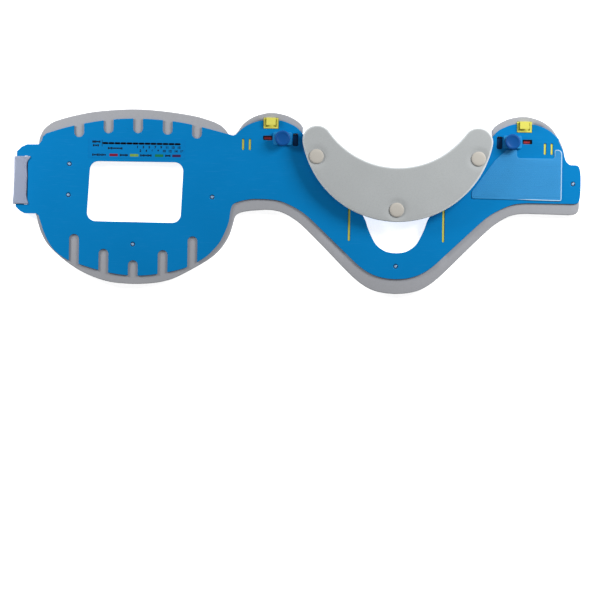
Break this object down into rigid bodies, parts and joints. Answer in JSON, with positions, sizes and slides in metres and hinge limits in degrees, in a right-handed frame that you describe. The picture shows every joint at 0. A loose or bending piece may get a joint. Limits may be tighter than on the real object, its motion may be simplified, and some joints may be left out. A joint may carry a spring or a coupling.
{
  "type": "cervical collar",
  "caption": "Flat-laid adjustable rigid neck collar: foam-lined shell, folding crescent chin support, ratchet height slides with push locks, and a closing strap.",
  "frame": {"origin": "under the middle of the collar's bounding box, on the surface that the foam lies on", "axes": "+X along the collar from the strap's end to the fastening end, +Y towards the wearer's head, +Z out of the shell's outer face"},
  "size_m": [0.5902, 0.1882, 0.0248],
  "materials": {
    "shell_blue": "satin",
    "adjuster_blue": "satin",
    "button_blue": "satin",
    "guide_yellow": "satin",
    "strip_red": "matt",
    "rivet_beige": "matt",
    "label_blue": "matt",
    "foam_grey": "matt",
    "chin_grey": "matt",
    "loop_blue": "matt",
    "strap_grey": "matt",
    "pin_steel": "satin"
  },
  "bodies": {
    "shell": {"panel": "shell_blue", "foam_lining": "foam_grey", "panel_rivets": "rivet_beige", "scale_label": "label_blue", "loop_pad": "loop_blue", "strap_loop": "strap_grey", "strap_tail": "strap_grey", "left_guide": "guide_yellow", "right_guide": "guide_yellow", "left_batten": "guide_yellow", "right_batten": "guide_yellow", "left_lock_housing": "adjuster_blue", "right_lock_housing": "adjuster_blue"},
    "left_carriage": {"left_slide": "adjuster_blue", "left_size_strip": "strip_red"},
    "right_carriage": {"right_slide": "adjuster_blue", "right_size_strip": "strip_red"},
    "left_button": {"left_lock_button": "button_blue"},
    "right_button": {"right_lock_button": "button_blue"},
    "chin_support": {"chin_plate": "shell_blue", "chin_foam": "chin_grey", "chin_rivets": "rivet_beige", "left_hinge_pin": "pin_steel", "right_hinge_pin": "pin_steel"}
  },
  "joints": [
    {"name": "left_height", "type": "slide", "parent": "shell", "child": "left_carriage", "axis": [0, 1, 0], "range_m": [0, 0.0465]},
    {"name": "right_height", "type": "slide", "parent": "shell", "child": "right_carriage", "axis": [0, 1, 0], "range_m": [0, 0.0465]},
    {"name": "left_lock", "type": "slide", "parent": "shell", "child": "left_button", "axis": [0, 0, -1], "range_m": [0, 0.002]},
    {"name": "right_lock", "type": "slide", "parent": "shell", "child": "right_button", "axis": [0, 0, -1], "range_m": [0, 0.002]},
    {"name": "chin_flip", "type": "hinge", "parent": "left_carriage", "child": "chin_support", "pos_m": [0.104, 0.068, 0.012], "axis": [-1, 0, 0], "range_deg": [0, 90]}
  ],
  "couplings": [
    {"joint": "right_height", "follows": "left_height", "ratio": 1}
  ]
}
